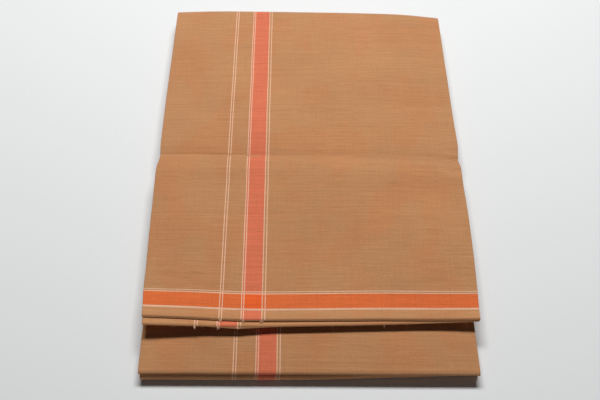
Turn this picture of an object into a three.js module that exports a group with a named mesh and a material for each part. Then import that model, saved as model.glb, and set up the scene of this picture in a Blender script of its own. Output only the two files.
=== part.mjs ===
// A cotton dhoti folded into a flat bundle, lying on a table.
//
// The cloth is folded selvedge to selvedge twice, which makes a long ribbon of four plies.
// The ribbon is then folded end to end three times, which makes eight stretches. From the
// table up they lie in the order 2, 7, 6, 3, 4, 5, 8, 1:
//   stretch 1   the top, from its cut end back to the far fold, and round that fold;
//   stretch 8   the second cut end, which shows just in front of the first;
//   stretch 5   the strip in front of the cut ends, and its near fold into stretch 4;
//   stretch 2   the underside, and its near fold into stretch 3, under the other one;
//   the rest    hidden layers, which show only as edges at the left and right.
//
// Millimetres. X runs across the ribbon, Y from the front folds to the far fold, Z up.
// The origin is at the middle of the bundle's footprint, on the table.

import * as THREE from 'three';

// Driving dimensions
const LOOM_WIDTH = 1270;
const PLIES = 4;
const WIDTH = LOOM_WIDTH / PLIES;
const LENGTH = 480; // front folds to far fold
const WALL = 2; // one ribbon of four plies, pressed
const GAP = 0.3; // between stretches
const PITCH = WALL + GAP;
const FLAP_END = 50; // from the front folds back to the first cut end
const SECOND_END = 44; // the same for the second cut end
const RETURN_END = 35; // how far a near fold's lower arm runs back in
const STRETCH_FAR_END = 454; // where stretches 5 and 8 run into the hidden far folds
const UNDERSIDE_JOIN = 444; // where stretches 1 and 2 meet on the table
const TOP_FLAT_END = 444; // the top runs level to here, then into the far fold
const FAR_FOLD_DEPTH = 12.5; // how far the far fold rounds over, measured along Y
const LOWER_INSET_LEFT = 1.5; // the lower stretches are this much short of the flap
const LOWER_INSET_RIGHT = 4.9;
const CREASE_DEPTH = 1.7; // old packing crease across the middle
const CREASE_REACH = 8;
const RIDGE_HEIGHT = 1.5; // soft ridge just in front of the crease
const RIDGE_REACH = 15;
const RIDGE_OFFSET = 22;
const CREASE_MIDDLE = 241.5; // distance of the crease from the front, at the middle
const CREASE_SKEW = 10; // it lies this much nearer at the right edge than at the left
const LIFT_FADE = 165; // the lifted cut ends settle onto the bundle over this length
const SIDE_DROP_SWELL = 4; // the full side drop is reached where the swell is well over this

// Columns of each table are named in its rows.
// How much thicker the hidden layers are than when pressed, along the bundle.
const SWELL = [
  { from_front: 0, swell: 0.3 },
  { from_front: 6, swell: 0.7 },
  { from_front: 14, swell: 1.4 },
  { from_front: 30, swell: 2.5 },
  { from_front: 50, swell: 3.8 },
  { from_front: 122, swell: 8.8 },
  { from_front: 202, swell: 13.4 },
  { from_front: 292, swell: 12.4 },
  { from_front: 382, swell: 11.8 },
  { from_front: 447, swell: 10.2 },
  { from_front: 480, swell: 9.0 },
];

// Across the bundle: how high the cut ends are lifted, how far each lies behind its nominal
// line, how far the bundle drops towards its side edges, how far the upper and lower near
// folds lie behind the front, and how far the far fold falls short of the full length.
const ACROSS = [
  {
    part: 0.0, lift: 10.2, top_setback: 2.4, second_setback: -0.4,
    side_drop: 2.6, upper_fold: 2.6, lower_fold: 0.8, far_short: 0.0,
  },
  {
    part: 0.12, lift: 7.2, top_setback: 1.4, second_setback: -0.8,
    side_drop: 0.8, upper_fold: 2.4, lower_fold: 0.3, far_short: 0.2,
  },
  {
    part: 0.3, lift: 3.6, top_setback: -0.2, second_setback: -0.6,
    side_drop: 0.0, upper_fold: 2.0, lower_fold: 0.0, far_short: 1.4,
  },
  {
    part: 0.5, lift: 3.0, top_setback: 0.0, second_setback: 0.4,
    side_drop: 0.0, upper_fold: 1.6, lower_fold: 0.0, far_short: 3.0,
  },
  {
    part: 0.7, lift: 2.8, top_setback: 0.5, second_setback: 1.6,
    side_drop: 0.0, upper_fold: 1.0, lower_fold: 1.4, far_short: 4.8,
  },
  {
    part: 0.88, lift: 3.9, top_setback: 0.1, second_setback: 3.2,
    side_drop: 1.0, upper_fold: 0.5, lower_fold: 3.0, far_short: 7.4,
  },
  {
    part: 1.0, lift: 6.8, top_setback: 0.1, second_setback: 4.4,
    side_drop: 3.8, upper_fold: 0.2, lower_fold: 4.4, far_short: 10.5,
  },
];

// Columns of a wall near each side edge: the wall thins there, where the plies fold over.
const EDGE = [
  { in_from_edge: 0, fullness: 0.4 },
  { in_from_edge: 0.7, fullness: 0.8 },
  { in_from_edge: 2.2, fullness: 1 },
];
const INNER_PARTS = [0.06, 0.15, 0.27, 0.39, 0.5, 0.61, 0.73, 0.85, 0.94];

const FOLD_STEPS = 8;
const FAR_FOLD_STEPS = 12;

function smoothTable(rows, key, value) {
  const places = new Float32Array(rows.map((row) => row[key]));
  const values = new Float32Array(rows.map((row) => row[value]));
  const curve = new THREE.CubicInterpolant(places, values, 1);
  return (place) => curve.evaluate(place)[0];
}

const swellAlong = smoothTable(SWELL, 'from_front', 'swell');
const endLift = smoothTable(ACROSS, 'part', 'lift');
const topSetback = smoothTable(ACROSS, 'part', 'top_setback');
const secondSetback = smoothTable(ACROSS, 'part', 'second_setback');
const sideDrop = smoothTable(ACROSS, 'part', 'side_drop');
const upperFold = smoothTable(ACROSS, 'part', 'upper_fold');
const lowerFold = smoothTable(ACROSS, 'part', 'lower_fold');
const farShort = smoothTable(ACROSS, 'part', 'far_short');

const partAcross = (x) => THREE.MathUtils.clamp(x / WIDTH + 0.5, 0, 1);
const hump = (distance, reach) => Math.exp(-((distance / reach) ** 2));
const creaseAt = (x) => CREASE_MIDDLE - (CREASE_SKEW * x) / WIDTH;
const centreOf = (layer) => (layer - 1) * PITCH + WALL / 2;
const topOf = (layer) => centreOf(layer) + WALL / 2;

// Extra height of the hidden layers at a distance s from the front, with the crease in it.
function swell(s, x) {
  const beyond = s - creaseAt(x);
  const ridge = RIDGE_HEIGHT * hump(beyond + RIDGE_OFFSET, RIDGE_REACH);
  const even = swellAlong(s);
  const drop = sideDrop(partAcross(x)) * Math.tanh(even / SIDE_DROP_SWELL);
  return even - drop + ridge - CREASE_DEPTH * hump(beyond, CREASE_REACH);
}

// Height that the two cut ends are lifted off the bundle, fading out behind them.
function lift(s, x) {
  const left = THREE.MathUtils.clamp(1 - (s - SECOND_END) / LIFT_FADE, 0, 1);
  return endLift(partAcross(x)) * left ** 1.6;
}

// Distances from the front at which every long stretch has a row of points.
function stations(x, start, end) {
  const crease = creaseAt(x);
  const nearCrease = [-44, -22, -8, 0, 9, 36].map((step) => crease + step);
  return [start, 72, 100, 135, 168, ...nearCrease, 320, 364, 408, end];
}

// Part of an ellipse, as points from one angle to another (0 is +Y, 90 degrees is +Z).
function arc(centre, reach, rise, fromDegrees, toDegrees, steps) {
  const points = [];
  for (let i = 0; i <= steps; i += 1) {
    const angle = THREE.MathUtils.degToRad(
      THREE.MathUtils.lerp(fromDegrees, toDegrees, i / steps),
    );
    const y = centre.x + reach * Math.cos(angle);
    points.push(new THREE.Vector2(y, centre.y + rise * Math.sin(angle)));
  }
  return points;
}

function columns(insetLeft, insetRight) {
  const left = -WIDTH / 2 + insetLeft;
  const right = WIDTH / 2 - insetRight;
  const leftEdge = EDGE.map((row) => ({ x: left + row.in_from_edge, fullness: row.fullness }));
  const rightEdge = EDGE.map((row) => ({ x: right - row.in_from_edge, fullness: row.fullness }));
  const inner = INNER_PARTS.map((part) => ({
    x: (part - 0.5) * WIDTH,
    fullness: 1,
  }));
  return [...leftEdge, ...inner, ...rightEdge.reverse()];
}

function meshGeometry(points, faces) {
  const geometry = new THREE.BufferGeometry();
  geometry.setAttribute('position', new THREE.Float32BufferAttribute(points.flat(), 3));
  geometry.setIndex(faces.flat());
  geometry.computeVertexNormals();
  return geometry;
}

const quad = (a, b, c, d) => [a, b, c, a, c, d];

// A wall of cloth: pathAt(x) gives its centre line in the Y-Z plane as (from front, height)
// points, and the wall is laid evenly to both sides of that line.
function clothWall(wallColumns, pathAt) {
  const points = [];
  for (const { x, fullness } of wallColumns) {
    const path = pathAt(x);
    const half = (WALL / 2) * fullness;
    path.forEach((point, i) => {
      const before = path[Math.max(i - 1, 0)];
      const after = path[Math.min(i + 1, path.length - 1)];
      const along = after.clone().sub(before).normalize();
      const y = point.x - LENGTH / 2;
      points.push([x, y - along.y * half, point.y + along.x * half]);
      points.push([x, y + along.y * half, point.y - along.x * half]);
    });
  }
  const steps = pathAt(0).length;
  const upper = (column, step) => 2 * (column * steps + step);
  const lower = (column, step) => upper(column, step) + 1;
  const faces = [];
  const lastColumn = wallColumns.length - 1;
  const lastStep = steps - 1;
  for (let c = 0; c < lastColumn; c += 1) {
    for (let s = 0; s < lastStep; s += 1) {
      faces.push(quad(upper(c, s), upper(c + 1, s), upper(c + 1, s + 1), upper(c, s + 1)));
      faces.push(quad(lower(c, s), lower(c, s + 1), lower(c + 1, s + 1), lower(c + 1, s)));
    }
    faces.push(quad(lower(c, 0), lower(c + 1, 0), upper(c + 1, 0), upper(c, 0)));
    faces.push(quad(
      upper(c, lastStep), upper(c + 1, lastStep), lower(c + 1, lastStep), lower(c, lastStep),
    ));
  }
  for (let s = 0; s < lastStep; s += 1) {
    faces.push(quad(lower(0, s), upper(0, s), upper(0, s + 1), lower(0, s + 1)));
    faces.push(quad(
      lower(lastColumn, s), lower(lastColumn, s + 1), upper(lastColumn, s + 1), upper(lastColumn, s),
    ));
  }
  return meshGeometry(points, faces);
}

// Centre of the far fold for one column: the fold spans from the table to the top stretch.
function farFold(x) {
  const start = LENGTH - WALL / 2 - farShort(partAcross(x)) - FAR_FOLD_DEPTH;
  const top = centreOf(8) + swell(start, x);
  return { start, middle: (top + centreOf(1)) / 2, half: (top - centreOf(1)) / 2 };
}

// Stretch 1: cut end, top, far fold, and a short way back under the bundle.
function topStretch() {
  return clothWall(columns(0, 0), (x) => {
    const fold = farFold(x);
    const cutEnd = FLAP_END + topSetback(partAcross(x));
    const flat = stations(x, cutEnd, TOP_FLAT_END);
    const top = flat.map((s) => new THREE.Vector2(s, centreOf(8) + swell(s, x) + lift(s, x)));
    const centre = new THREE.Vector2(fold.start, fold.middle);
    const round = arc(centre, FAR_FOLD_DEPTH, fold.half, 90, -90, FAR_FOLD_STEPS);
    return [...top, ...round, new THREE.Vector2(UNDERSIDE_JOIN + GAP, centreOf(1))];
  });
}

// Stretch 8: its cut end shows in front of stretch 1's.
function secondStretch() {
  return clothWall(columns(1, 1), (x) => {
    const part = partAcross(x);
    const cutEnd = SECOND_END + secondSetback(part);
    const flat = [cutEnd, ...stations(x, FLAP_END + topSetback(part), STRETCH_FAR_END)];
    return flat.map((s) => new THREE.Vector2(s, centreOf(7) + swell(s, x) + lift(s, x)));
  });
}

// Stretch 5, its near fold, and the start of stretch 4 below it.
function frontStretch() {
  return clothWall(columns(LOWER_INSET_LEFT, LOWER_INSET_RIGHT), (x) => {
    const upperArm = centreOf(6) + swell(0, x);
    const lowerArm = centreOf(5);
    const radius = (upperArm - lowerArm) / 2;
    const start = radius + WALL / 2 + upperFold(partAcross(x));
    const centre = new THREE.Vector2(start, (upperArm + lowerArm) / 2);
    const nose = arc(centre, radius, radius, -90, -270, FOLD_STEPS);
    const flat = [22, 46, ...stations(x, 60, STRETCH_FAR_END).slice(1)];
    const top = flat.map((s) => new THREE.Vector2(s, centreOf(6) + swell(s, x)));
    return [new THREE.Vector2(RETURN_END, lowerArm), ...nose, ...top];
  });
}

// Stretch 2 on the table, its near fold, and the start of stretch 3 above it.
function bottomStretch() {
  return clothWall(columns(LOWER_INSET_LEFT + 1, LOWER_INSET_RIGHT), (x) => {
    const radius = (centreOf(4) - centreOf(1)) / 2;
    const start = radius + WALL / 2 + lowerFold(partAcross(x));
    const centre = new THREE.Vector2(start, centreOf(1) + radius);
    const nose = arc(centre, radius, radius, -90, -270, FOLD_STEPS).reverse();
    const flat = [UNDERSIDE_JOIN, 340, 240, 140, 40].map((s) => new THREE.Vector2(s, centreOf(1)));
    return [new THREE.Vector2(RETURN_END, centreOf(4)), ...nose, ...flat.reverse()];
  });
}

// Stretches 3, 4, 6 and 7 and the folds inside the far fold, as one rounded solid whose
// side edges are grooved between the layers.
const CORE_LAYERS = 4;
const CORE_INSET = 1.2;
const GROOVE_DEPTH = 4;
const CORE_NEAR_NOSE = [
  { s: 7.4, squeeze: 0.45 },
  { s: 8.6, squeeze: 0.8 },
  { s: 11.5, squeeze: 1 },
];
const CORE_TRIM = 0.1; // keeps the hidden folds clear of the far fold around them
const CORE_FAR_ANGLES = [68, 46, 28, 14];

function coreRows(x) {
  const floor = topOf(1) + GAP;
  const lowTop = topOf(3) - GAP / 2;
  const rows = CORE_NEAR_NOSE.map(({ s, squeeze }) => {
    const trim = ((lowTop - floor) * (1 - squeeze)) / 2;
    return { s, low: floor + trim, high: lowTop - trim };
  });
  rows.push({ s: RETURN_END + 0.8, low: floor, high: lowTop });
  rows.push({ s: RETURN_END + 1.4, low: floor, high: topOf(5) + swell(RETURN_END, x) - GAP / 2 });
  for (const s of stations(x, 48, STRETCH_FAR_END + GAP)) {
    rows.push({ s, low: floor, high: topOf(5) + swell(s, x) });
  }
  const fold = farFold(x);
  const inside = WALL / 2 + GAP;
  const fullHalf = fold.half - inside;
  const farRow = (s, half) => ({ s, low: fold.middle - half, high: fold.middle + half - CORE_TRIM });
  rows.push(farRow(STRETCH_FAR_END + 4 * GAP, fullHalf));
  for (const degrees of CORE_FAR_ANGLES) {
    const angle = THREE.MathUtils.degToRad(degrees);
    const s = fold.start + (FAR_FOLD_DEPTH - inside) * Math.cos(angle);
    rows.push(farRow(s, fullHalf * Math.sin(angle)));
  }
  return rows;
}

function coreRing() {
  const left = -WIDTH / 2 + LOWER_INSET_LEFT + CORE_INSET;
  const right = WIDTH / 2 - LOWER_INSET_RIGHT - CORE_INSET;
  const side = [];
  for (let layer = 0; layer < CORE_LAYERS; layer += 1) {
    side.push({ inset: 0, height: (layer + 0.22) / CORE_LAYERS });
    side.push({ inset: 0, height: (layer + 0.78) / CORE_LAYERS });
    side.push({ inset: GROOVE_DEPTH, height: (layer + 1) / CORE_LAYERS });
  }
  side.pop();
  const inner = [0.015, ...INNER_PARTS, 0.985].map((part) => THREE.MathUtils.lerp(left, right, part));
  return [
    ...inner.map((x) => ({ x, height: 0 })),
    ...side.map(({ inset, height }) => ({ x: right - inset, height })),
    ...inner.toReversed().map((x) => ({ x, height: 1 })),
    ...side.toReversed().map(({ inset, height }) => ({ x: left + inset, height })),
  ];
}

function foldedLayers() {
  const ring = coreRing();
  const rowsByPoint = ring.map(({ x }) => coreRows(x));
  const rowCount = rowsByPoint[0].length;
  const points = [];
  for (let r = 0; r < rowCount; r += 1) {
    ring.forEach(({ x, height }, i) => {
      const { s, low, high } = rowsByPoint[i][r];
      points.push([x, s - LENGTH / 2, THREE.MathUtils.lerp(low, high, height)]);
    });
  }
  const faces = [];
  const count = ring.length;
  for (let r = 0; r < rowCount - 1; r += 1) {
    for (let i = 0; i < count; i += 1) {
      const next = (i + 1) % count;
      const near = r * count;
      const far = near + count;
      faces.push(quad(near + i, far + i, far + next, near + next));
    }
  }
  const outline = ring.map(({ x, height }) => new THREE.Vector2(x, height * 20));
  const farRow = (rowCount - 1) * count;
  for (const [a, b, c] of THREE.ShapeUtils.triangulateShape(outline, [])) {
    faces.push([a, b, c]);
    faces.push([farRow + a, farRow + c, farRow + b]);
  }
  return meshGeometry(points, faces);
}

function clothMaterial(colour) {
  return new THREE.MeshStandardMaterial({ color: colour, roughness: 0.9, metalness: 0 });
}

const TAN = 0xc3925f;
const TAN_SHADED = 0xb98654;
const TAN_EDGE = 0xa9774b;

const pieces = [
  { name: 'top_stretch', geometry: topStretch(), material: clothMaterial(TAN) },
  { name: 'second_stretch', geometry: secondStretch(), material: clothMaterial(TAN_SHADED) },
  { name: 'front_stretch', geometry: frontStretch(), material: clothMaterial(TAN) },
  { name: 'bottom_stretch', geometry: bottomStretch(), material: clothMaterial(TAN_SHADED) },
  { name: 'folded_layers', geometry: foldedLayers(), material: clothMaterial(TAN_EDGE) },
];

const dhoti = new THREE.Group();
for (const { name, geometry, material } of pieces) {
  const mesh = new THREE.Mesh(geometry, material);
  mesh.name = name;
  dhoti.add(mesh);
}

export default dhoti;
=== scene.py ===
# A cotton dhoti folded into a flat bundle: one length of cloth, folded in four across its
# width and in eight along its length, with woven border stripes and two cut ends on top.
#
# Working units here are millimetres in the frame's axes, with "s" for the distance from the
# bundle's front edge along +Y. They become metres when a mesh is made.
import math

import bpy
import numpy as np
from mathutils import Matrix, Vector


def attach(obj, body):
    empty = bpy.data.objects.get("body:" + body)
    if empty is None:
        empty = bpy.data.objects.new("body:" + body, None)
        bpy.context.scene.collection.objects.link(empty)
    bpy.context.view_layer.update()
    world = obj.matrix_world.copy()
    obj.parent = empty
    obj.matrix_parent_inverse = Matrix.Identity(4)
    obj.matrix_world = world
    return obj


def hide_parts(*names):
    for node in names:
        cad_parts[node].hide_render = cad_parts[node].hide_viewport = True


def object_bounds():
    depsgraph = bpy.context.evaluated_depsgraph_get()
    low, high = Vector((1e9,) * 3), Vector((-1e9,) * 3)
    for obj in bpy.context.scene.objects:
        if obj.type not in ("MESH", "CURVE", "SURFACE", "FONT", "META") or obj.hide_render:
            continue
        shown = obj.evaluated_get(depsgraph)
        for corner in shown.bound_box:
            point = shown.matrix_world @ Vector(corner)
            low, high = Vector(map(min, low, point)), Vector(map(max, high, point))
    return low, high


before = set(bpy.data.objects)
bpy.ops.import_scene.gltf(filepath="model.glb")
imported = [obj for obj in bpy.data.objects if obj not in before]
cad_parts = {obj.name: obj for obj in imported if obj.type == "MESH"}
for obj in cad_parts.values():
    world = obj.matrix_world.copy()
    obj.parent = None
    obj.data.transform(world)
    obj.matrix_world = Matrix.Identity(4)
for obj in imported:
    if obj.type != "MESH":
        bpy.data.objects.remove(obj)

CAD_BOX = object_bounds()
MM = 0.001

# ---------------------------------------------------------------- sizes from the frame
LOW, HIGH = (np.array(corner) / MM for corner in CAD_BOX)
WIDTH = HIGH[0] - LOW[0]
LENGTH = HIGH[1] - LOW[1]
PLIES = 4
LOOM_WIDTH = PLIES * WIDTH
WALL = 2.0  # one ribbon of four plies
GAP = 0.3
PITCH = WALL + GAP
CLOTH = 0.22  # one ply
PLY_PITCH = (WALL - CLOTH) / (PLIES - 1)
FLAP_END = 50.0
SECOND_END = 44.0
RETURN_END = 35.0
STRETCH_FAR_END = 454.0
UNDERSIDE_JOIN = 444.0
FAR_FOLD_DEPTH = 12.5
LOWER_INSET_LEFT = 1.5
LOWER_INSET_RIGHT = 4.9

# Thickness of the hidden layers over their pressed thickness, along the bundle.
SWELL = {
    "from_front": (0, 6, 14, 30, 50, 122, 202, 292, 382, 447, 480),
    "swell": (0.3, 0.7, 1.4, 2.5, 3.8, 8.8, 13.4, 12.4, 11.8, 10.2, 9.0),
}
# Across the bundle: the lift of the cut ends and how far each lies behind its nominal line,
# the drop towards the sides, and how far each fold stops short of the bundle's ends.
ACROSS = {
    "part": (0, 0.12, 0.3, 0.5, 0.7, 0.88, 1.0),
    "lift": (10.2, 7.2, 3.6, 3.0, 2.8, 3.9, 6.8),
    "top_setback": (2.4, 1.4, -0.2, 0.0, 0.5, 0.1, 0.1),
    "second_setback": (-0.4, -0.8, -0.6, 0.4, 1.6, 3.2, 4.4),
    "side_drop": (2.6, 0.8, 0.0, 0.0, 0.0, 1.0, 3.8),
    "upper_fold": (2.6, 2.4, 2.0, 1.6, 1.0, 0.5, 0.2),
    "lower_fold": (0.8, 0.3, 0.0, 0.0, 1.4, 3.0, 4.4),
    "far_short": (0.0, 0.2, 1.4, 3.0, 4.8, 7.4, 10.5),
}
# The flap's side edges: how far each is inside the full width, along the bundle.
FLAP_OUTLINE = {
    "from_front": (47, 60, 78, 109, 142, 177, 209, 228, 240, 252, 292, 402, 480),
    "left": (2.5, 2.1, 0.9, 0.5, -0.4, -0.8, -1.2, -0.8, 0.9, 0.3, -0.2, 0.2, 0.3),
    "right": (1.3, 1.1, 0.2, -0.9, -1.4, -1.3, -0.4, -0.6, 0.5, -0.6, -0.5, -0.3, -0.6),
}
# Small creases: middle across and from the front, turn in degrees from straight
# across, half length, half width, and height (a trough is below nought).
FLAP_CREASES = {
    "x": (-116, -60, 155.5, 157, 156, -66, -52, -126, -138, -98, 15, -20, 96, 40, 118),
    "from_front": (
        244.7, 242.6, 249.2, 238.5, 221, 162, 103.3, 93, 80, 120, 336, 302, 198, 144, 90,
    ),
    "turn": (-2.4, -1.5, -14, -6, 10, 84, 1, -16, -23, 74, -2.4, -1, 66, 80, 12),
    "length": (48, 40, 9, 8, 8, 52, 17, 28, 17, 24, 150, 60, 40, 45, 36),
    "width": (1.5, 2.2, 2.4, 2.2, 2.6, 7.5, 1.7, 3.2, 2.8, 5.0, 1.3, 1.2, 8, 9, 5),
    "height": (
        -1.05, -0.55, -1.8, -1.7, -1.5, -0.6, -0.35, -0.45, -0.35, -0.3, 0.28, -0.2, -0.35,
        0.3, -0.3,
    ),
}
STRIP_CREASES = {
    "x": (-99, -135, -30, 62, 128, -146),
    "from_front": (16, 14, 24, 28, 26, 30),
    "turn": (90, 88, 4, -3, -20, 60),
    "length": (9, 8, 40, 34, 18, 9),
    "width": (1.3, 1.2, 3.0, 3.4, 4.0, 3.0),
    "height": (-0.35, -0.25, -0.2, 0.22, -0.35, -0.3),
}
UNDERSIDE_CREASES = {
    "x": (-80, 35, 110, -20, 70),
    "from_front": (244, 238, 122, 332, 62),
    "turn": (-2, -3, 70, 82, 14),
    "length": (70, 60, 45, 60, 40),
    "width": (2.6, 3.0, 6, 7, 4),
    "height": (0.25, 0.2, 0.2, 0.2, 0.2),
}
SIDE_DROP_SWELL = 4.0
UPPER_ROUNDNESS = 3.4  # the upper near fold is this much longer than a half circle
PRESSED = 0.38  # share of the plies' spacing left at the cut ends
PRESS_FADE = 34.0
CREASE_ROWS_NEAR = 24.0  # rows of points lie closer together from here to beyond the crease
CREASE_ROWS_BEYOND = 10.0
CREASE_DEPTH = 1.7
CREASE_REACH = 8.0
RIDGE_HEIGHT = 1.5
RIDGE_REACH = 15.0
RIDGE_OFFSET = 22.0
CREASE_MIDDLE = 241.5
CREASE_SKEW = 10.0
LIFT_FADE = 165.0  # the lift of the cut ends dies out over this length
LIFT_CURVE = 1.6
SETTLE_START = 12.0  # layers 1 to 5 take up their share of the swell from here to its end
SETTLE_END = 62.0
FLAP_ROWS = (72, 40, 66)  # rows of points in front of, across and beyond the main crease
SHOWN_ROWS = 130  # rows along the other stretches whose tops show
INNER_ROWS = 60


def smooth(table, key, value, place):
    """A table's column at a place, on a smooth curve through its rows."""
    xs, ys = np.array(table[key], float), np.array(table[value], float)
    slope = np.gradient(ys, xs)
    place = np.clip(place, xs[0], xs[-1])
    i = np.clip(np.searchsorted(xs, place) - 1, 0, len(xs) - 2)
    step = xs[i + 1] - xs[i]
    t = (place - xs[i]) / step
    start = (1 + 2 * t) * (1 - t) ** 2 * ys[i] + t * (1 - t) ** 2 * step * slope[i]
    return start + t * t * (3 - 2 * t) * ys[i + 1] + t * t * (t - 1) * step * slope[i + 1]


def ease(value, start, end):
    t = np.clip((value - start) / (end - start), 0, 1)
    return t * t * (3 - 2 * t)


def hump(distance, reach):
    return np.exp(-((distance / reach) ** 2))


def part_across(x):
    return np.clip(x / WIDTH + 0.5, 0, 1)


def centre_of(layer):
    return (layer - 1) * PITCH + WALL / 2


def across_at(column, x):
    return smooth(ACROSS, "part", column, part_across(x))


def crease_at(x):
    return CREASE_MIDDLE - CREASE_SKEW * x / WIDTH


def swell(s, x):
    beyond = s - crease_at(x)
    ridge = RIDGE_HEIGHT * hump(beyond + RIDGE_OFFSET, RIDGE_REACH)
    even = smooth(SWELL, "from_front", "swell", s)
    drop = across_at("side_drop", x) * np.tanh(even / SIDE_DROP_SWELL)
    return even - drop + ridge - CREASE_DEPTH * hump(beyond, CREASE_REACH)


def creases(table, s, x):
    """Height of a table's creases over the smooth cloth."""
    total = np.zeros(np.broadcast(s, x).shape)
    for place in zip(*table.values()):
        middle_x, middle_s, turn, length, width, rise = place
        c, d = math.cos(math.radians(turn)), math.sin(math.radians(turn))
        right, back = x - middle_x, s - middle_s
        total += rise * hump(right * c + back * d, length) * hump(back * c - right * d, width)
    return total


def lift(s, x):
    left = np.clip(1 - (s - SECOND_END) / LIFT_FADE, 0, 1)
    return across_at("lift", x) * left ** LIFT_CURVE


def height(layer, s, x):
    """Middle of a layer's ribbon: 1 lies on the table, 8 is the top."""
    share = min((layer - 1) / 4, 1)
    settle = ease(s, SETTLE_START, SETTLE_END) if layer <= 5 else 1
    z = centre_of(layer) + share * settle * swell(s, x)
    return z + lift(s, x) if layer >= 7 else z


# ---------------------------------------------------------------- paths of the eight stretches
# A path is a pair of arrays, distance from the front and height, a row for each step
# along the ribbon and a column for each place across it.
def run(layer, start, end, x, rows):
    share = np.linspace(0, 1, rows)[:, None]
    s = np.broadcast_to(start + (end - start) * share, (rows, len(x)))
    return s, height(layer, s, x)


def far_start(x):
    return LENGTH - WALL / 2 - across_at("far_short", x) - FAR_FOLD_DEPTH


def far_fold(nest, x, rows, upward=False):
    """Fold at the far end. nest 0 joins layers 8 and 1, nest 3 joins layers 5 and 4."""
    start = far_start(x)
    top, low = height(8 - nest, start, x), height(1 + nest, start, x)
    angle = np.radians(np.linspace(90, -90, rows))[:, None]
    if upward:
        angle = -angle
    reach = FAR_FOLD_DEPTH - nest * PITCH
    return start + reach * np.cos(angle), (top + low) / 2 + (top - low) / 2 * np.sin(angle)


def near_fold(first, last, foremost, x, rows, roundness=1.0):
    """Fold at the front from one layer to another, its outside at foremost."""
    z0, z1 = height(first, foremost, x), height(last, foremost, x)
    radius = np.abs(z1 - z0) / 2
    reach = radius * roundness
    centre = foremost + reach + WALL / 2
    angle = np.radians(np.linspace(-90, 90, rows))[:, None]
    return centre - reach * np.cos(angle), (z0 + z1) / 2 + (z1 - z0) / 2 * np.sin(angle), centre


def joined(*paths):
    s = np.vstack([p[0] if i == 0 else p[0][1:] for i, p in enumerate(paths)])
    z = np.vstack([p[1] if i == 0 else p[1][1:] for i, p in enumerate(paths)])
    return s, z


# Paths of the six lengths of ribbon, in the order in which the cloth runs.
def top_path(x, end):
    cut = end + across_at("top_setback", x)
    start = far_start(x)
    near, beyond = crease_at(x) - CREASE_ROWS_NEAR, crease_at(x) + CREASE_ROWS_BEYOND
    return joined(
        run(8, cut, near, x, FLAP_ROWS[0]),
        run(8, near, beyond, x, FLAP_ROWS[1]),
        run(8, beyond, start, x, FLAP_ROWS[2]),
        far_fold(0, x, 22), run(1, start, UNDERSIDE_JOIN, x, 5),
    )


def bottom_path(x):
    s, z, centre = near_fold(1, 4, across_at("lower_fold", x), x, 14)
    return joined(run(1, UNDERSIDE_JOIN, centre, x, 40), (s, z), run(4, centre, RETURN_END, x, 8))


def inner_far_path(x):
    start = far_start(x)
    return joined(
        run(4, RETURN_END, start, x, INNER_ROWS),
        far_fold(3, x, 10, upward=True),
        run(5, start, RETURN_END, x, INNER_ROWS),
    )


def front_path(x):
    s, z, centre = near_fold(5, 6, across_at("upper_fold", x), x, 20, UPPER_ROUNDNESS)
    back = run(6, centre, STRETCH_FAR_END, x, SHOWN_ROWS)
    return joined(run(5, RETURN_END, centre, x, 10), (s, z), back)


def inner_near_path(x):
    start = far_start(x)
    s, z, centre = near_fold(3, 2, across_at("lower_fold", x) + WALL + 3 * GAP, x, 10)
    return joined(
        run(6, STRETCH_FAR_END, start, x, 4),
        far_fold(2, x, 12),
        run(3, start, centre, x, INNER_ROWS),
        (s, z),
        run(2, centre, start, x, INNER_ROWS),
        far_fold(1, x, 14, upward=True),
        run(7, start, STRETCH_FAR_END, x, 4),
    )


def second_path(x, end):
    cut = end + across_at("second_setback", x)
    return run(7, STRETCH_FAR_END, cut, x, SHOWN_ROWS)


# ---------------------------------------------------------------- the ribbon's four plies
FOLD_RADIUS = PLY_PITCH / 2
FOLD_TURN = np.radians((-60, -25, 15, 50))  # columns round a side fold
CUT_LENGTH = 3709.0  # the whole cloth, from cut end to cut end
OUTER = 0
COARSE = (0, 1.2, 3, 6, 11, 20, 45, 90, 135, 180, 225, 270, 297, 306, 311.5, 314.5, 316.3, 317.5)
FINE_STEP = 3.6


def fine_columns():
    inner = np.arange(4.5, WIDTH - 4.4, FINE_STEP)
    return np.concatenate([(0, 0.8, 2.2), inner, (WIDTH - 2.2, WIDTH - 0.8, WIDTH)])


def wander(seed, s, size):
    """A smooth, slow change along the ribbon, different for each seed."""
    a, b, c = (math.sin(12.9898 * seed + k) * 43758.5453 % 1 for k in (1.0, 2.3, 4.1))
    wave = np.sin(s / (38 + 40 * a) + 6.3 * b) + 0.6 * np.sin(s / (15 + 12 * c) + 6.3 * a)
    return size * (0.5 * wave + 1.4 * (b - 0.5))


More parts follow.
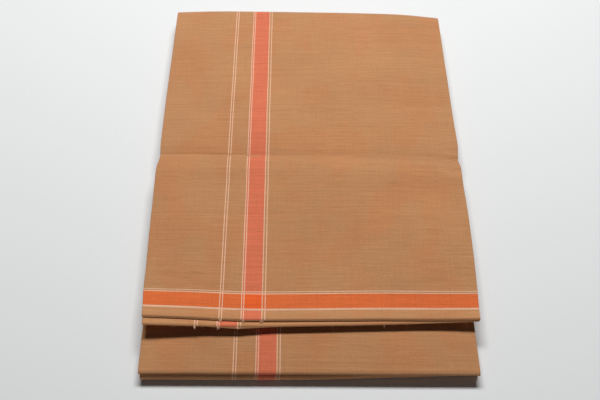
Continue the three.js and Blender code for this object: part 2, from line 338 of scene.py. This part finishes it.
class Ribbon:
    """Grid of points of a four-ply ribbon: rows along it, columns from selvedge to selvedge."""

    def __init__(self, name, path, inset=(0, 0), seed=1, fine_ply=None, shift=(0, 0), after=None,
                 last=False, uneven=0.5, ends=None, relief=None, outline=None):
        self.name, self.path, self.inset, self.seed = name, path, inset, seed
        self.fine_ply, self.shift, self.last = fine_ply, shift, last
        self.uneven, self.ends, self.relief, self.outline = uneven, ends, relief, outline
        self.cloth_start = after.cloth_end if after else 0.0
        self.points, across, along = self.grid()
        self.length = float(along[-1, self.middle] - along[0, self.middle])
        self.cloth_end = self.cloth_start + self.length
        self.piece = self.build(across, along)

    def side(self, which, pair, s):
        """X of one side's edge: which is -1 left or 1 right, pair names its fold or selvedge."""
        inset = self.inset[0] if which < 0 else self.inset[1]
        slip = np.abs(wander(self.seed * 7.3 + which + 3 * pair, s, self.uneven)) + 0.15
        if pair == OUTER and self.outline is not None:
            slip = 0.0
        if self.outline is not None:
            slip = slip + smooth(self.outline, "from_front", "left" if which < 0 else "right", s)
        return which * (WIDTH / 2 - inset - slip)

    def columns(self):
        """Ply, place across it, turn round a side fold (or None), in cloth order."""
        made = []
        for ply in range(PLIES):
            across = fine_columns() if ply == self.fine_ply else np.array(COARSE) * WIDTH / 317.5
            if ply % 2:
                across = across[::-1]
            made += [(ply, place, None) for place in across]
            if ply < PLIES - 1:
                made += [(ply, None, turn) for turn in FOLD_TURN]
        return made

    def grid(self):
        columns = self.columns()
        nominal = np.array([
            (place if place is not None else (WIDTH if ply % 2 == 0 else 0)) - WIDTH / 2
            for ply, place, turn in columns
        ])
        plies = np.array([column[0] for column in columns])
        s, z = self.path(nominal) if self.ends is None else self.path_with_ends(nominal, plies)
        ds, dz = np.gradient(s, axis=0), np.gradient(z, axis=0)
        size = np.hypot(ds, dz)
        out_s, out_z = -dz / size, ds / size
        x, out, cloth = np.empty_like(s), np.empty_like(s), np.empty_like(s)
        for i, (ply, place, turn) in enumerate(columns):
            level = (1.5 - ply) * PLY_PITCH
            row_s = s[:, i]
            left_pair, right_pair = (ply + 1) // 2, ply // 2
            left = self.side(-1, left_pair if ply else OUTER, row_s)
            right = self.side(1, right_pair if right_pair else OUTER, row_s)
            if turn is None:
                low = left + (FOLD_RADIUS if ply in (1, 2) else 0)
                high = right - FOLD_RADIUS
                x[:, i] = low + (high - low) * place / WIDTH
                out[:, i] = level
            else:
                bulge = FOLD_RADIUS * math.cos(turn)
                if ply % 2 == 0:
                    x[:, i] = right - FOLD_RADIUS + bulge
                else:
                    x[:, i] = left + FOLD_RADIUS - bulge
                out[:, i] = level - PLY_PITCH / 2 - FOLD_RADIUS * math.sin(turn)
            distance = x[:, i] + WIDTH / 2
            cloth[:, i] = ((distance + self.shift[0]), 2 * WIDTH - distance, 2 * WIDTH + distance,
                           LOOM_WIDTH - distance - self.shift[1])[ply]
        if self.ends is not None:
            loose = PRESSED + (1 - PRESSED) * ease(s, SECOND_END, SECOND_END + PRESS_FADE)
            rise = (1 - loose) * (PLIES - 1) * PLY_PITCH
            out = out * loose + (-1.5 * rise if self.last else 0.5 * rise)
        if self.relief is not None:
            raised = self.relief(s, x) * (plies == self.fine_ply)
            out = out + (raised if self.fine_ply == 0 else -raised)
        steps = np.hypot(np.diff(s, axis=0), np.diff(z, axis=0))
        along = np.vstack([np.zeros(len(columns)), np.cumsum(steps, axis=0)])
        along += CUT_LENGTH - along[-1] if self.last else self.cloth_start
        self.columns_ply, self.middle = plies, int(np.argmin(np.abs(nominal) + 99 * (plies != 0)))
        y = s + out_s * out - LENGTH / 2
        points = np.stack([x, y, z + out_z * out], axis=-1)
        return points, cloth, along

    def path_with_ends(self, nominal, plies):
        s, z = np.empty(0), np.empty(0)
        for ply in range(PLIES):
            s_ply, z_ply = self.path(nominal, self.ends(ply, nominal))
            if ply == 0:
                s, z = np.empty_like(s_ply), np.empty_like(z_ply)
            chosen = plies == ply
            s[:, chosen], z[:, chosen] = s_ply[:, chosen], z_ply[:, chosen]
        return s, z

    def build(self, across, along):
        points = self.points
        rows, columns = points.shape[:2]
        mesh = bpy.data.meshes.new(self.name)
        index = np.arange(rows * columns).reshape(rows, columns)
        quads = np.stack([index[:-1, :-1], index[:-1, 1:], index[1:, 1:], index[1:, :-1]], axis=-1)
        quads = quads.reshape(-1, 4)
        mesh.from_pydata((points.reshape(-1, 3) * MM).tolist(), [], quads.tolist())
        uv = np.stack([across, along], axis=-1).reshape(-1, 2) * MM
        layer = mesh.uv_layers.new(name="Cloth")
        layer.data.foreach_set("uv", uv[quads.reshape(-1)].reshape(-1))
        mesh.polygons.foreach_set("use_smooth", np.ones(len(quads), bool))
        mesh.update()
        piece = bpy.data.objects.new(self.name, mesh)
        bpy.context.scene.collection.objects.link(piece)
        solid = piece.modifiers.new("cloth thickness", "SOLIDIFY")
        solid.thickness = CLOTH * MM
        solid.offset = 0
        return piece


# ---------------------------------------------------------------- pieces
# How far behind its end line each ply is cut, and a tongue of one ply that hangs out past it.
TOP_PLY_ENDS = (0.0, -0.9, 0.7, 0.3)
SECOND_PLY_ENDS = (0.9, 0.4, 0.6, 0.0)
TONGUE_PLY = 2
TONGUE_LENGTH = 2.4
TONGUE_LEFT = (-86, -80)
TONGUE_RIGHT = (-50.5, -50)


def top_ends(ply, x):
    return FLAP_END + TOP_PLY_ENDS[ply] + 0 * x


def second_ends(ply, x):
    tongue = 0
    if ply == TONGUE_PLY:
        tongue = -TONGUE_LENGTH * ease(x, *TONGUE_LEFT) * (1 - ease(x, *TONGUE_RIGHT))
    return SECOND_END + SECOND_PLY_ENDS[ply] + tongue + 0 * x


def relief_of(table):
    return lambda s, x: creases(table, s, x)


inset = (LOWER_INSET_LEFT, LOWER_INSET_RIGHT)
hidden_inset = (LOWER_INSET_LEFT + 0.8, LOWER_INSET_RIGHT + 0.6)
lower_inset = (LOWER_INSET_LEFT + 1, LOWER_INSET_RIGHT)
flap_top = Ribbon("flap_top", top_path, seed=1, fine_ply=0, ends=top_ends, outline=FLAP_OUTLINE,
                  relief=relief_of(FLAP_CREASES))
underside = Ribbon("underside", bottom_path, inset=lower_inset, seed=4, fine_ply=0,
                   shift=(-13.5, 0), after=flap_top, relief=relief_of(UNDERSIDE_CREASES))
inner_far = Ribbon("inner_far_fold", inner_far_path, inset=hidden_inset, seed=5, after=underside)
front_strip = Ribbon("front_strip", front_path, inset=inset, seed=3, fine_ply=0, shift=(-14.5, 0),
                     after=inner_far, relief=relief_of(STRIP_CREASES))
inner_near = Ribbon("inner_near_fold", inner_near_path, inset=hidden_inset, seed=6,
                    after=front_strip)
second_flap = Ribbon("second_flap", second_path, inset=(0.6, 0.6), seed=2, fine_ply=3,
                     shift=(0, 22), last=True, ends=second_ends, outline=FLAP_OUTLINE)
RIBBONS = (flap_top, underside, inner_far, front_strip, inner_near, second_flap)

# ---------------------------------------------------------------- threads at the cut ends
# Loose and frayed threads: the end that it hangs from (0 first, 1 second), middle
# across, length, turn to the right in degrees, fall below level in degrees, how many
# threads in the tuft, and whether they are the white border threads.
TUFTS = {
    "end": (0, 0, 0, 1, 1, 1, 1, 1, 1, 1, 1, 0, 1),
    "x": (-84.3, -62.5, -45.4, -107.2, -85.1, -67.5, -126.6, 68, 78.3, 88.4, 143.8, -146, 20),
    "length": (2.4, 2.0, 2.6, 2.6, 2.8, 2.4, 3.2, 5.2, 3.4, 4.6, 4.2, 2.2, 4.2),
    "turn": (20, -10, 35, 8, -25, 40, 5, 4, -8, 6, 3, -70, 30),
    "fall": (12, 8, 10, 20, 15, 12, 65, 72, 78, 70, 80, 10, 30),
    "count": (6, 4, 6, 5, 5, 4, 1, 1, 1, 1, 1, 3, 1),
    "white": (1, 1, 1, 1, 1, 1, 0, 1, 0, 0, 0, 0, 0),
}
WHITE_RADIUS = 0.2
TAN_RADIUS = 0.11
THREAD_SIDES = 5
THREAD_STEPS = 5
THREAD_SINK = 0.1  # a thread starts this far below the middle of its ply
TUFT_PITCH = 0.5  # width of a tuft for each of its threads
TUFT_SPREAD = 16  # degrees between a tuft's threads
FRAY_STEP = 1.7  # a short thread end about this often along each cut end
FRAY_SINK = 0.08
FRAY_LEFT = 5  # the fraying stops this far from the bundle's sides
FRAY_RIGHT = 7


def chance(seed):
    """A number from 0 to 1 that depends only on the seed."""
    return math.sin(12.9898 * seed + 1.7) * 43758.5453 % 1


def cut_end(ribbon, x):
    """A point on a ribbon's visible cut edge and the direction in which the cloth ends."""
    row, inner = (-1, -2) if ribbon.last else (0, 1)
    shown = np.flatnonzero(ribbon.columns_ply == ribbon.fine_ply)
    i = shown[np.argmin(np.abs(ribbon.points[row, shown, 0] - x))]
    point, inside = ribbon.points[row, i].copy(), ribbon.points[inner, i]
    out = (point - inside) / np.linalg.norm(point - inside)
    point[0] = x
    return point, out


def strand(start, out, length, turn, fall, curl):
    """Centre line of one thread, which leaves the cloth along out and then falls."""
    side, drop = math.radians(turn), math.radians(fall)
    points = [start - out * 1.0]
    here = start.copy()
    for i in range(THREAD_STEPS):
        share = i / (THREAD_STEPS - 1)
        lean, down = side * share + curl * share * share, drop * share
        ahead = np.array((math.sin(lean), -math.cos(lean) * math.cos(down), -math.sin(down)))
        points.append(here.copy())
        here = here + ahead * length / THREAD_STEPS
    return points + [here]


def tubes(name, strands, radius):
    """One mesh of thin round tubes along centre lines, closed at both ends."""
    vertices, faces = [], []
    for line in strands:
        base = len(vertices)
        for i, point in enumerate(line):
            ahead = Vector(line[min(i + 1, len(line) - 1)] - line[max(i - 1, 0)]).normalized()
            across = ahead.orthogonal().normalized()
            up = ahead.cross(across)
            for k in range(THREAD_SIDES):
                angle = 2 * math.pi * k / THREAD_SIDES
                offset = (across * math.cos(angle) + up * math.sin(angle)) * radius
                vertices.append((Vector(point) + offset) * MM)
            if i:
                for k in range(THREAD_SIDES):
                    a, b = base + (i - 1) * THREAD_SIDES, base + i * THREAD_SIDES
                    n = (k + 1) % THREAD_SIDES
                    faces.append((a + k, a + n, b + n, b + k))
        last = base + (len(line) - 1) * THREAD_SIDES
        faces.append(tuple(base + k for k in reversed(range(THREAD_SIDES))))
        faces.append(tuple(last + k for k in range(THREAD_SIDES)))
    mesh = bpy.data.meshes.new(name)
    mesh.from_pydata(vertices, [], faces)
    mesh.polygons.foreach_set("use_smooth", np.ones(len(faces), bool))
    mesh.update()
    piece = bpy.data.objects.new(name, mesh)
    bpy.context.scene.collection.objects.link(piece)
    return piece


def threads():
    """The white and the tan threads, as two pieces."""
    lines = {0: [], 1: []}
    ends = (flap_top, second_flap)
    for n, (end, x, length, turn, fall, count, white) in enumerate(zip(*TUFTS.values())):
        for k in range(count):
            seed = 31 * n + k
            point, out = cut_end(ends[end], x + (chance(seed) - 0.5) * TUFT_PITCH * count)
            point[2] -= THREAD_SINK
            spread = (k - (count - 1) / 2) * TUFT_SPREAD
            grown = length * (0.7 + 0.5 * chance(seed + 0.3))
            drop = fall * (0.6 + 0.6 * chance(seed + 0.6))
            curl = chance(seed + 0.8) - 0.5
            lines[white].append(strand(point, out, grown, turn + spread, drop, curl))
    for end, ribbon in enumerate(ends):
        place = -WIDTH / 2 + FRAY_LEFT
        while place < WIDTH / 2 - FRAY_RIGHT:
            seed = place * 3.1 + 400 * end
            place += FRAY_STEP * (0.4 + 1.2 * chance(seed))
            point, out = cut_end(ribbon, place)
            point[2] -= FRAY_SINK
            length = 0.35 + 1.1 * chance(seed + 0.5) ** 3
            turn = 90 * (chance(seed + 0.2) - 0.5)
            drop = 30 * chance(seed + 0.7)
            curl = chance(seed + 0.9) - 0.5
            lines[0].append(strand(point, out, length, turn, drop, curl))
    white_piece = tubes("white_threads", lines[1], WHITE_RADIUS)
    return white_piece, tubes("tan_threads", lines[0], TAN_RADIUS)


white_threads, tan_threads = threads()

# ---------------------------------------------------------------- cloth material
BAND_SOFT = 0.16 * MM
TAN = (0.510, 0.242, 0.102)
TAN_WARM = (0.520, 0.226, 0.091)
BORDER_ORANGE = (0.690, 0.168, 0.079)
CROSS_ORANGE = (0.742, 0.154, 0.036)
BOTH_ORANGE = (0.840, 0.119, 0.018)
LINE_WHITE = (0.830, 0.500, 0.340)
# The woven design, in millimetres from a selvedge (border) or a cut end (cross stripe).
BORDER_LINES = (
    (73.0, 73.9), (75.5, 76.4), (93.6, 94.5), (95.7, 96.6), (112.9, 113.8), (115.7, 116.6),
)
BORDER_BAND = (94.5, 113.0)
CROSS_LINES = ((10.2, 12.0), (27.0, 27.9), (29.2, 30.0))
CROSS_BAND = (12.0, 27.0)
MARGIN_END = (9.5, 10.5)
THREAD_PITCH = 0.42  # of the plain weave
LINE_STRENGTH = 0.92
# How strongly each kind of unevenness changes the cloth's tone. Dark slubs are below nought.
TONE = {
    "weft": 0.40,
    "weft_long": 0.28,
    "warp": 0.18,
    "cloud": 0.20,
    "grain": 0.30,
    "slub_light": 0.16,
    "slub_dark": -0.17,
    "margin": 0.15,
}


class Nodes:
    """Builds a node tree: each call adds one node and gives its result socket."""

    def __init__(self, owner):
        owner.use_nodes = True
        self.tree = owner.node_tree
        self.tree.nodes.clear()

    def add(self, kind, result=0, inputs=(), **settings):
        node = self.tree.nodes.new(kind)
        for name, value in settings.items():
            setattr(node, name, value)
        for key, value in dict(inputs).items():
            if isinstance(value, bpy.types.NodeSocket):
                self.tree.links.new(value, node.inputs[key])
            else:
                node.inputs[key].default_value = value
        return node.outputs[result]

    def math(self, operation, a, b=0.0, c=0.0):
        return self.add("ShaderNodeMath", inputs={0: a, 1: b, 2: c}, operation=operation)

    def ramp(self, value, low, high, to_low=0.0, to_high=1.0):
        settings = {0: value, 1: low, 2: high, 3: to_low, 4: to_high}
        return self.add("ShaderNodeMapRange", inputs=settings, interpolation_type="SMOOTHSTEP")

    def band(self, place, low, high):
        rise = self.ramp(place, low * MM - BAND_SOFT, low * MM + BAND_SOFT)
        fall = self.ramp(place, high * MM - BAND_SOFT, high * MM + BAND_SOFT, 1.0, 0.0)
        return self.math("MULTIPLY", rise, fall)

    def bands(self, place, spans):
        total = self.band(place, *spans[0])
        for span in spans[1:]:
            total = self.math("ADD", total, self.band(place, *span))
        return total

    def noise(self, u, v, across, along, detail=2.0, seed=0.0, roughness=0.5):
        """Noise with that many features to the metre across and along the cloth."""
        place = self.add("ShaderNodeCombineXYZ", inputs={
            0: self.math("MULTIPLY", u, across), 1: self.math("MULTIPLY", v, along), 2: seed})
        inputs = {"Vector": place, "Scale": 1.0, "Detail": detail, "Roughness": roughness}
        return self.add("ShaderNodeTexNoise", inputs=inputs)

    def mix(self, share, first, second):
        def colour(value):
            return value if isinstance(value, bpy.types.NodeSocket) else (*value, 1.0)
        inputs = {0: share, 6: colour(first), 7: colour(second)}
        return self.add("ShaderNodeMix", result=2, inputs=inputs, data_type="RGBA")

    def finish(self, shader):
        output = self.tree.nodes.new("ShaderNodeOutputMaterial")
        self.tree.links.new(shader, output.inputs["Surface"])


def cotton():
    """Plain-woven starched cotton with the dhoti's borders and cross stripes."""
    owner = bpy.data.materials.new("dhoti_cotton")
    n = Nodes(owner)
    uv = n.add("ShaderNodeUVMap", uv_map="Cloth")
    split = n.tree.nodes.new("ShaderNodeSeparateXYZ")
    n.tree.links.new(uv, split.inputs[0])
    u, v = split.outputs[0], split.outputs[1]

    # Threads aren't quite straight, so the stripes waver by a fraction of a millimetre.
    sway = n.math("MULTIPLY_ADD", n.noise(u, v, 3, 18, seed=3.0), 0.9 * MM, -0.45 * MM)
    rough_edge = n.noise(u, v, 300, 700, detail=1.0, seed=5.0)
    edge = n.math("MULTIPLY_ADD", rough_edge, 0.30 * MM, -0.15 * MM)
    shifted = n.math("ADD", sway, edge)
    across = n.math("ADD", n.math("MINIMUM", u, n.math("SUBTRACT", LOOM_WIDTH * MM, u)), shifted)
    along = n.math("ADD", n.math("MINIMUM", v, n.math("SUBTRACT", CUT_LENGTH * MM, v)), edge)

    border, cross = n.band(across, *BORDER_BAND), n.band(along, *CROSS_BAND)
    lines = n.math("MAXIMUM", n.bands(across, BORDER_LINES), n.bands(along, CROSS_LINES))

    # Uneven hand-loom yarn: slubs in the weft, fainter ones in the warp, and slow clouding.
    weft = n.noise(u, v, 34, 1150, detail=2.0, seed=11.0)
    weft_long = n.noise(u, v, 5, 420, detail=3.0, seed=17.0)
    warp = n.noise(u, v, 1100, 26, detail=2.0, seed=23.0)
    cloud = n.noise(u, v, 16, 13, detail=3.0, seed=31.0)
    slub_light = n.ramp(n.noise(u, v, 42, 900, detail=1.0, seed=41.0), 0.66, 0.76)
    slub_dark = n.ramp(n.noise(u, v, 50, 800, detail=1.0, seed=47.0), 0.67, 0.78)
    tone = n.math("MULTIPLY_ADD", n.math("SUBTRACT", weft, 0.5), TONE["weft"], 1.0)
    tone = n.math("MULTIPLY_ADD", n.math("SUBTRACT", weft_long, 0.5), TONE["weft_long"], tone)
    tone = n.math("MULTIPLY_ADD", n.math("SUBTRACT", warp, 0.5), TONE["warp"], tone)
    tone = n.math("MULTIPLY_ADD", n.math("SUBTRACT", cloud, 0.5), TONE["cloud"], tone)
    grain = n.noise(u, v, 620, 560, detail=2.0, seed=53.0)
    tone = n.math("MULTIPLY_ADD", n.math("SUBTRACT", grain, 0.5), TONE["grain"], tone)
    tone = n.math("MULTIPLY_ADD", slub_light, TONE["slub_light"], tone)
    tone = n.math("MULTIPLY_ADD", slub_dark, TONE["slub_dark"], tone)
    # The cloth is paler within about ten millimetres of a cut end.
    margin = n.ramp(along, MARGIN_END[0] * MM, MARGIN_END[1] * MM, 1.0, 0.0)
    tone = n.math("MULTIPLY_ADD", margin, TONE["margin"], tone)

    warmer = n.ramp(n.noise(u, v, 24, 17, detail=3.0, seed=61.0), 0.42, 0.62)
    colour = n.mix(border, n.mix(warmer, TAN, TAN_WARM), BORDER_ORANGE)
    colour = n.mix(cross, colour, n.mix(border, CROSS_ORANGE, BOTH_ORANGE))
    colour = n.mix(n.math("MULTIPLY", lines, LINE_STRENGTH), colour, LINE_WHITE)
    shade = n.add("ShaderNodeCombineColor", inputs={0: tone, 1: tone, 2: tone})
    colour = n.add("ShaderNodeMix", result=2, data_type="RGBA", blend_type="MULTIPLY",
                   inputs={0: 1.0, 6: colour, 7: shade})

    # Plain weave: warp and weft threads pass over each other in turn.
    turn = 2 * math.pi / (THREAD_PITCH * MM)
    over = n.math("SINE", n.math("MULTIPLY", u, turn))
    under = n.math("SINE", n.math("MULTIPLY", v, turn))
    weave = n.math("MULTIPLY", over, under)
    relief = n.math("MULTIPLY_ADD", weave, 0.35, n.math("MULTIPLY", weft, 1.2))
    relief = n.math("ADD", relief, n.math("MULTIPLY", slub_light, 0.6))
    relief = n.math("MULTIPLY_ADD", warp, 0.5, relief)
    bump = n.add("ShaderNodeBump", inputs={"Strength": 0.55, "Distance": 0.12 * MM, "Height": relief})
    rough = n.math("MULTIPLY_ADD", weft, -0.12, 0.93)
    n.finish(n.add("ShaderNodeBsdfPrincipled", inputs={
        "Base Color": colour, "Roughness": rough, "Normal": bump,
        "Specular IOR Level": 0.22, "Sheen Weight": 0.38, "Sheen Roughness": 0.5}))
    return owner


def yarn(name, colour):
    """One twisted thread, a little uneven along its length."""
    owner = bpy.data.materials.new(name)
    n = Nodes(owner)
    place = n.add("ShaderNodeTexCoord", result=3)
    change = n.add("ShaderNodeTexNoise", inputs={"Vector": place, "Scale": 900.0, "Detail": 2.0})
    tone = n.ramp(change, 0.3, 0.7, 0.82, 1.1)
    shade = n.add("ShaderNodeCombineColor", inputs={0: tone, 1: tone, 2: tone})
    mixed = n.add("ShaderNodeMix", result=2, data_type="RGBA", blend_type="MULTIPLY",
                  inputs={0: 1.0, 6: (*colour, 1.0), 7: shade})
    bump = n.add("ShaderNodeBump", inputs={"Strength": 0.4, "Distance": 0.05 * MM, "Height": change})
    n.finish(n.add("ShaderNodeBsdfPrincipled", inputs={
        "Base Color": mixed, "Roughness": 0.9, "Normal": bump, "Specular IOR Level": 0.2}))
    return owner


material = cotton()
for piece, colour in ((white_threads, LINE_WHITE), (tan_threads, TAN)):
    piece.data.materials.append(yarn(piece.name, colour))
    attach(piece, "root")
for ribbon in RIBBONS:
    ribbon.piece.data.materials.append(material)
    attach(ribbon.piece, "root")
for ribbon, node, under in (
    (flap_top, "top_stretch", second_flap),
    (second_flap, "second_stretch", front_strip),
    (front_strip, "front_stretch", inner_far),
    (underside, "bottom_stretch", None),
    (inner_far, "folded_layers", inner_near),
    (inner_near, "folded_layers", underside),
):
    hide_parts(node)

# ---------------------------------------------------------------- camera
FOCAL_LENGTH = 50
SENSOR_WIDTH = 36
CAMERA_RIGHT = -0.0108
CAMERA_BEFORE_FRONT = 0.3145
CAMERA_HEIGHT = 0.7155
LOOKS_DOWN = 53.98
LOOKS_LEFT = -0.14
camera_data = bpy.data.cameras.new("camera")
camera_data.lens = FOCAL_LENGTH
camera_data.sensor_width = SENSOR_WIDTH
camera = bpy.data.objects.new("camera", camera_data)
camera.location = (CAMERA_RIGHT, LOW[1] * MM - CAMERA_BEFORE_FRONT, CAMERA_HEIGHT)
camera.rotation_euler = (math.radians(90 - LOOKS_DOWN), 0, math.radians(LOOKS_LEFT))
bpy.context.scene.collection.objects.link(camera)
bpy.context.scene.camera = camera

# ---------------------------------------------------------------- floor and light
FLOOR_SIZE = 6
FLOOR_COLOUR = (0.80, 0.812, 0.814, 1.0)
WORLD_STRENGTH = 0.19
bpy.ops.mesh.primitive_plane_add(size=FLOOR_SIZE)
floor = bpy.context.active_object
floor.name = "floor"
floor_owner = bpy.data.materials.new("pale_floor")
floor_nodes = Nodes(floor_owner)
floor_nodes.finish(floor_nodes.add("ShaderNodeBsdfPrincipled", inputs={
    "Base Color": FLOOR_COLOUR, "Roughness": 0.9, "Specular IOR Level": 0.2}))
floor.data.materials.append(floor_owner)


def area_light(name, azimuth, elevation, distance, size, power):
    """A soft box that looks at the bundle. Azimuth 0 is behind the bundle, 90 its right."""
    data = bpy.data.lights.new(name, "AREA")
    data.shape = "RECTANGLE"
    data.size, data.size_y = size
    data.energy = power
    light = bpy.data.objects.new(name, data)
    turn, rise = math.radians(azimuth), math.radians(elevation)
    level = math.cos(rise)
    direction = Vector((math.sin(turn) * level, math.cos(turn) * level, math.sin(rise)))
    light.location = direction * distance
    light.rotation_euler = direction.to_track_quat("Z", "Y").to_euler()
    bpy.context.scene.collection.objects.link(light)


area_light("key", azimuth=3, elevation=63.5, distance=1.9, size=(1.3, 0.38), power=41.2)
area_light("fill", azimuth=180, elevation=76, distance=2.2, size=(1.8, 0.7), power=0.5)
area_light("front", azimuth=180, elevation=10, distance=2.2, size=(1.8, 0.3), power=3.2)
world = bpy.data.worlds.new("world")
bpy.context.scene.world = world
world.use_nodes = True
world.node_tree.nodes["Background"].inputs["Strength"].default_value = WORLD_STRENGTH
bpy.context.scene.view_settings.view_transform = "Standard"
